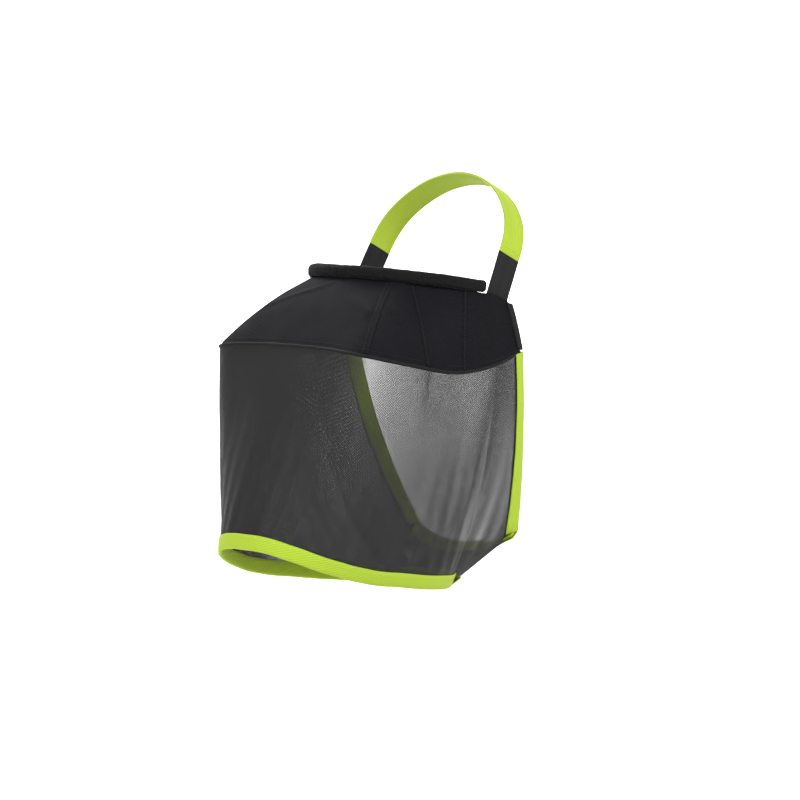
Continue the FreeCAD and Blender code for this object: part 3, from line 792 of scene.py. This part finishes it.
binding = {"width": 0.0130, "wall": 0.0008, "cloth": 0.0014, "row": -0.0112,
           "proud": 0.00012, "templeWidth": 0.0078, "templeCloth": 0.0012,
           "templeRow": (-0.0064, 0.0016), "flapEndWidth": 0.0098,
           "flapEndRow": (-0.0082, 0.0017)}
hem = hemSection(binding["width"], binding["wall"], binding["cloth"])
faceOut = binding["cloth"] / 2 + binding["wall"] + binding["proud"]
noseEnd = foldStation - 0.0003
noseFrames = framesAlong(skirtPoint, span(-noseEnd, noseEnd, 260), lambda s: (s, 1),
                         lambda s: (s, 0.95))
noseRim = bandPiece("noseBinding", noseFrames, hem, limeBinding, "mask",
                    waver=0.00035, seed=1)
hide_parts("nose_binding")
limeLines.append(beside(noseFrames, binding["row"], faceOut))
for sign, side in ((1, "left"), (-1, "right")):
    frames = framesAlong(skirtPoint, span(0.006, 0.998, 90), lambda s, u=sign: (u, s),
                         lambda s, u=sign: (0.95 * u, s))
    edge = bandPiece(f"cheekBinding{side.title()}", frames, hem, limeBinding, "mask",
                     waver=0.0003, seed=8 + sign)
    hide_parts(f"cheek_binding_{side}")
    limeLines.append(beside(frames[1:-1], binding["row"], faceOut))
    frames = framesAlong(yokePoint, span(-0.02, 0.992, 40), lambda s, u=sign: (u, s),
                         lambda s, u=sign: (0.95 * u, s))
    edge = bandPiece(f"templeBinding{side.title()}", frames,
                     hemSection(binding["templeWidth"], binding["wall"],
                                binding["templeCloth"]), blackTape, "mask",
                     waver=0.0003, seed=12 + sign)
    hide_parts(f"temple_binding_{side}")
    blackLines.append(beside(frames[1:-1], *binding["templeRow"]))
print("edges bound")

# ---- jaw flaps: mesh flaps that fold at the jaw, bound on three sides

flap = {"reach": 0.030, "step": 0.0020, "thick": 0.0006}
axis = np.array(joints["jaw_flap_left_open"]["axis"])


def halfJaw(back):
    return foldFront[0] + (foldRear[0] - foldFront[0]) * back


def flapLayer(sign):
    def point(along, back):
        half = halfJaw(back)
        across = sign * (1 - along * (1 + flap["reach"] / half))
        rise = min(1, max(0, (1 - sign * across) / 0.5))
        lift = sign * flap["step"] * rise * rise * (3 - 2 * rise)
        return jawPoint(across, back) + normalOf(jawPoint, across, back) * lift
    return point


def mirrorX(p, sign):
    return np.array((sign * p[0], p[1], p[2]))


for sign, side in ((1, "left"), (-1, "right")):
    layer, title = flapLayer(sign), side.title()
    inward = np.array((-1.0, 0, 0)) - axis * (-axis[0])
    inward /= np.linalg.norm(inward)
    blend = ("mask", f"flap_{side}", tuple(mirrorX(foldMiddle, sign)),
             tuple(mirrorX(foldMiddle + inward * 0.007, sign)))
    cloth = clothPiece(f"jawFlap{title}", layer, span(0.0005, 0.995, 61), span(0.003, 0.997, 41),
                       flap["thick"], meshNet, blend)
    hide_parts(f"jaw_flap_{side}")
    limeOnFlap, blackOnFlap = [], []
    for edge, back, within in (("nose", 0, 0.1), ("throat", 1, 0.9)):
        frames = framesAlong(layer, span(0.001, 0.99, 70), lambda s, b=back: (s, b),
                             lambda s, b=within: (s, b))
        strip = bandPiece(f"flap{edge.title()}Binding{title}", frames, hem, limeBinding,
                          blend, waver=0.0003, seed=20 + sign + back)
        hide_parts(f"flap_{edge}_binding_{side}")
        limeOnFlap.append(beside(frames[1:-1], binding["row"], faceOut))
    frames = framesAlong(layer, span(0.33, 0.67, 24), lambda s: (1, s), lambda s: (0.9, s))
    strip = bandPiece(f"flapEndBinding{title}", frames,
                      hemSection(binding["flapEndWidth"], binding["wall"],
                                 binding["cloth"]),
                      blackTape, f"flap_{side}", waver=0.0002, seed=30 + sign)
    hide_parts(f"flap_end_binding_{side}")
    blackOnFlap.append(beside(frames[1:-1], *binding["flapEndRow"]))
    grow(f"flapStitches{title}", guideMesh("flapGuide" + title, limeOnFlap), stitchRow,
         {"Spacing": 0.0032, "Stitch long": 0.0023, "Thread": 0.00045,
          "Material": limeThread}, blend)
    grow(f"flapEndStitches{title}", guideMesh("flapEndGuide" + title, blackOnFlap), stitchRow,
         {"Spacing": 0.0030, "Stitch long": 0.0022, "Thread": 0.00045,
          "Material": blackThread}, f"flap_{side}")
for node, finish in (("hook_tape", hookPlastic), ("loop_tape", loopPile),
                     ("brow_band_foam", foamCore)):
    frame["nodes"][node].data.materials.clear()
    frame["nodes"][node].data.materials.append(finish)
print("flaps made")

# ---- brow band: padded fleece roll

brow = {"high": 0.0056, "thick": 0.0042, "around": 40, "long": 220, "lump": 0.0005,
        "closing": (0.60, 0.94), "bare": 22,
        "density": 600000.0, "fibre": 0.0006}
tilt = math.radians(form["browTilt"])
upBand = np.array((0, math.sin(tilt), math.cos(tilt)))
browFrames = []
for turn in span(-90.7, 90.7, brow["long"]):
    place = browPoint(turn)
    ahead = browPoint(turn + 0.5) - browPoint(turn - 0.5)
    ahead /= np.linalg.norm(ahead)
    outwards = np.cross(ahead, upBand)
    outwards /= np.linalg.norm(outwards)
    browFrames.append((place, upBand, outwards))
roll = []
for a in span(0, 2 * math.pi, brow["around"] + 1)[:-1]:
    straight = brow["high"] - brow["thick"]
    roll.append((brow["thick"] * math.sin(a) + math.copysign(straight, math.sin(a)),
                 brow["thick"] * math.cos(a)))
band = bandPiece("browBand", browFrames, roll, fleece, "mask",
                 waver=0.0004, seed=40)
for vertex in band.data.vertices:
    ring = vertex.index // brow["around"]
    toEnd = min(ring, brow["long"] - 1 - ring)
    if toEnd < len(brow["closing"]):  # the cover is gathered shut over the foam
        middle = Vector(browFrames[ring][0])
        vertex.co = middle + (vertex.co - middle) * brow["closing"][toEnd]
    vertex.co += vertex.normal.copy() * (brow["lump"] * noise.noise(vertex.co * 130))
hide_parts("brow_band_cover")
worn = [tuple(p.vertices) for p in band.data.polygons  # no nap where the elastics pass
        if all(brow["bare"] <= v // brow["around"] < brow["long"] - brow["bare"]
               for v in p.vertices)]
ground = bpy.data.meshes.new("pileGround")
ground.from_pydata([v.co for v in band.data.vertices], [], worn)
pile = grow("browPile", ground, fibrePile,
            {"Density": brow["density"], "Fibre long": brow["fibre"] * 2,
             "Fibre thick": 0.00009, "Lean": 0.9, "Seed": 11, "Material": fleece},
            "mask")
print("brow band padded:", len(pile.data.polygons), "fibre faces")

# ---- poll strap: lime webbing on two ribbed elastics, sewn to black tabs

strap = {"half": 0.0125, "thick": 0.0020, "ribs": 12, "ribDepth": 0.00018,
         "elastic": 0.0018, "elasticRibs": 14, "elasticRibDepth": 0.00022,
         "elasticLong": 0.042, "lap": 0.006, "anchor": 0.0905,
         "seamRows": (0.0022, 0.0062), "seamHalf": 0.0112, "proud": 0.0001}
swing = joints["poll_strap_swing"]
strapUp = np.array(joints["poll_strap_stretch"]["axis"], float)
strapFoot = np.array(swing["pos_m"], float)
strapSide = np.cross(np.array((1.0, 0, 0)), strapUp)  # across the webbing
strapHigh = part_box("poll_strap")[1]
arch = {"half": strapHigh.x - strap["thick"] / 2, "side": 0.060, "crown": 0.09204,
        "foot": strap["elasticLong"] + 0.0003, "steps": 150}


def onStrap(x, up):
    return np.array((x, 0, 0)) + strapFoot + strapUp * up


def ribbedSection(half, thick, ribs, depth):
    count = ribs * 4
    top = [(-half + 2 * half * i / count,
            thick / 2 - depth * (0.5 + 0.5 * math.cos(2 * math.pi * i / 4)))
           for i in range(count + 1)]
    return top + [(a, -n) for a, n in reversed(top)]


def pathFrames(places, normals):
    return [(p, strapSide, n / np.linalg.norm(n)) for p, n in zip(places, normals)]


def archPoint(turn):
    # on the strap's middle line, turn radians round from its left foot
    sideX = arch["half"] - arch["side"]
    drop = math.sqrt((arch["crown"] - arch["side"]) ** 2 - sideX ** 2)
    lean = math.atan2(drop, sideX)
    if turn < lean:
        x, up, radius = sideX, 0, arch["side"]
    elif turn > math.pi - lean:
        x, up, radius = -sideX, 0, arch["side"]
    else:
        x, up, radius = 0, -drop, arch["crown"]
    out = np.array((math.cos(turn), 0, 0)) + strapUp * math.sin(turn)
    place = onStrap(x, arch["foot"] + up) + out * radius
    return place, out


archPlaces = [archPoint(a) for a in span(0, math.pi, arch["steps"])]
archFrames = pathFrames([p for p, n in archPlaces], [n for p, n in archPlaces])
webbing = bandPiece("pollStrap", archFrames,
                    ribbedSection(strap["half"], strap["thick"], strap["ribs"],
                                  strap["ribDepth"]),
                    limeWebbing, "crown_strap", waver=0.0002, seed=50)
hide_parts("poll_strap")
ends = []
for at in strap["seamRows"]:
    for sign in (1, -1):
        turn = at / arch["side"]
        place, out = archPoint(turn if sign > 0 else math.pi - turn)
        top = place + out * (strap["thick"] / 2 + strap["proud"])
        ends.append([(top + strapSide * s, out)
                     for s in span(-strap["seamHalf"], strap["seamHalf"], 12)])
grow("strapStitches", guideMesh("strapGuide", ends), stitchRow,
     {"Spacing": 0.0016, "Stitch long": 0.0024, "Thread": 0.0005, "Slant": 1.0,
      "Material": limeThread}, "crown_strap")
for sign, side in ((1, "left"), (-1, "right")):
    low, high = strap["anchor"] - strap["elastic"] / 2, arch["half"]
    lap, elasticLong = strap["lap"], strap["elasticLong"]
    places = [onStrap(sign * (low + (high - low) * (s + lap) / (elasticLong + lap)), s)
              for s in span(-lap, elasticLong, 60)]
    normal = np.cross(strapSide, places[-1] - places[0])
    normal *= math.copysign(1, normal[0] * sign)
    title = side.title()
    elastic = bandPiece(f"pollElastic{title}", pathFrames(places, [normal] * len(places)),
                        ribbedSection(strap["half"], strap["elastic"],
                                      strap["elasticRibs"], strap["elasticRibDepth"]),
                        blackElastic,
                        ("poll_elastics", "crown_strap", tuple(onStrap(sign * low, 0.004)),
                         tuple(onStrap(sign * low, elasticLong))),
                        waver=0.0002, seed=52 + sign)
    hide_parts(f"poll_elastic_{side}")

# tabs at the elastics' feet
tab = {"long": 0.0300, "drop": 0.0086, "thick": 0.0030, "round": 0.0012,
       "inner": 0.0910, "seamRows": (0.0016, 0.0068), "seamHalf": 0.0132}
for sign, side in ((1, "left"), (-1, "right")):
    title = side.title()
    middle = tab["inner"] + tab["thick"] / 2
    places = [onStrap(sign * middle, -s) for s in span(0.0, tab["drop"], 14)]
    half, thick, soft = tab["long"] / 2, tab["thick"] / 2, tab["round"]
    outline = []
    for cx, cn, start in ((half - soft, thick - soft, 0), (-half + soft, thick - soft, 90),
                          (-half + soft, -thick + soft, 180),
                          (half - soft, -thick + soft, 270)):
        for k in range(5):
            a = math.radians(start + 22.5 * k)
            outline.append((cx + soft * math.cos(a), cn + soft * math.sin(a)))
    patch = bandPiece(f"elasticTab{title}",
                      pathFrames(places, [np.array((sign, 0, 0))] * len(places)),
                      outline, blackTape, "mask", waver=0.0002, seed=60 + sign)
    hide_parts(f"elastic_tab_{side}")
    for drop in tab["seamRows"]:
        top = onStrap(sign * (middle + thick + strap["proud"]), -drop)
        blackLines.append([(top + strapSide * s, np.array((sign, 0, 0)))
                           for s in span(-tab["seamHalf"], tab["seamHalf"], 14)])
print("poll strap fitted")

# ---- stitches on the mask body

grow("blackStitches", guideMesh("blackGuide", blackLines), stitchRow,
     {"Spacing": 0.0030, "Stitch long": 0.0022, "Thread": 0.00045,
      "Material": blackThread}, "mask")
grow("limeStitches", guideMesh("limeGuide", limeLines), stitchRow,
     {"Spacing": 0.0032, "Stitch long": 0.0023, "Thread": 0.00045,
      "Material": limeThread}, "mask")
print("stitched:", len(finished), "pieces")

# ---- studio: pale sweep, soft lights, long lens

studio = {"azimuth": 48.0, "elevation": 4.0, "distance": 8.0, "frameWide": 0.704,
          "aimAcross": 0.0334, "aimUp": -0.044, "floorDrop": 0.11}


def paleMaterial():
    material, shader, node, sum_, mix, cutAxes, speckle, relief, link = newMaterial("sweep")
    link(mix(speckle(3.0, 2.0), (0.80, 0.80, 0.80), (0.84, 0.84, 0.835)),
         shader.inputs["Base Color"])
    shader.inputs["Roughness"].default_value = 0.7
    return material


floorLevel = cadBox[0].z - studio["floorDrop"]
bend, reach = 2.5, 10.5
az = math.radians(studio["azimuth"])
toCamera = Vector((math.sin(az), -math.cos(az), 0))
toRight = Vector((math.cos(az), math.sin(az), 0))
profile = [(11.0, 0)] + [(-reach + bend - bend * math.sin(a), bend - bend * math.cos(a))
                        for a in span(0, math.pi / 2, 24)] + [(-reach, 9.0)]
verts = [tuple(toCamera * d + toRight * s + Vector((0, 0, floorLevel + up)))
         for d, up in profile for s in (-12, 12)]
faces = [(2 * i, 2 * i + 1, 2 * i + 3, 2 * i + 2) for i in range(len(profile) - 1)]
sweepMesh = bpy.data.meshes.new("sweep")
sweepMesh.from_pydata(verts, [], faces)
sweepMesh.shade_smooth()
sweepMesh.materials.append(paleMaterial())
sweep = bpy.data.objects.new("sweep", sweepMesh)
bpy.context.scene.collection.objects.link(sweep)

world = bpy.data.worlds.new("studioWorld")
bpy.context.scene.world = world
world.use_nodes = True
world.node_tree.nodes["Background"].inputs["Color"].default_value = (1, 1, 1, 1)
world.node_tree.nodes["Background"].inputs["Strength"].default_value = 0.62


def softLight(name, place, target, size, power):
    data = bpy.data.lights.new(name, "AREA")
    data.shape, data.size, data.energy = "DISK", size, power
    lamp = bpy.data.objects.new(name, data)
    bpy.context.scene.collection.objects.link(lamp)
    lamp.location = place
    lamp.rotation_mode = "QUATERNION"
    lamp.rotation_quaternion = (target - Vector(place)).to_track_quat("-Z", "Y")


heart = Vector((0, 0.01, -0.03))
up = Vector((0, 0, 1))
softLight("key", heart + toCamera * 1.2 + toRight * 1.1 + up * 1.5, heart, 1.2, 42)
softLight("fill", heart + toCamera * 1.4 - toRight * 1.6 + up * 0.6, heart, 1.6, 22)
softLight("backdrop", heart - toCamera * 4.8 + up * 4.2, heart - toCamera * 8.3, 5.0, 900)
softLight("rim", heart - toCamera * 1.3 - toRight * 0.6 + up * 1.4, heart, 1.0, 30)

bpy.context.scene.view_settings.view_transform = "Standard"  # true lime and black
camera = bpy.data.objects.new("camera", bpy.data.cameras.new("camera"))
bpy.context.scene.collection.objects.link(camera)
el = math.radians(studio["elevation"])
back = toCamera * math.cos(el) + up * math.sin(el)
aim = toRight * studio["aimAcross"] + up * studio["aimUp"]
camera.location = aim + back * studio["distance"]
camera.rotation_mode = "QUATERNION"
camera.rotation_quaternion = (-back).to_track_quat("-Z", "Y")
camera.data.sensor_width = 36
camera.data.lens = 36 * studio["distance"] / studio["frameWide"]
camera.data.clip_start, camera.data.clip_end = 0.1, 40
bpy.context.scene.camera = camera
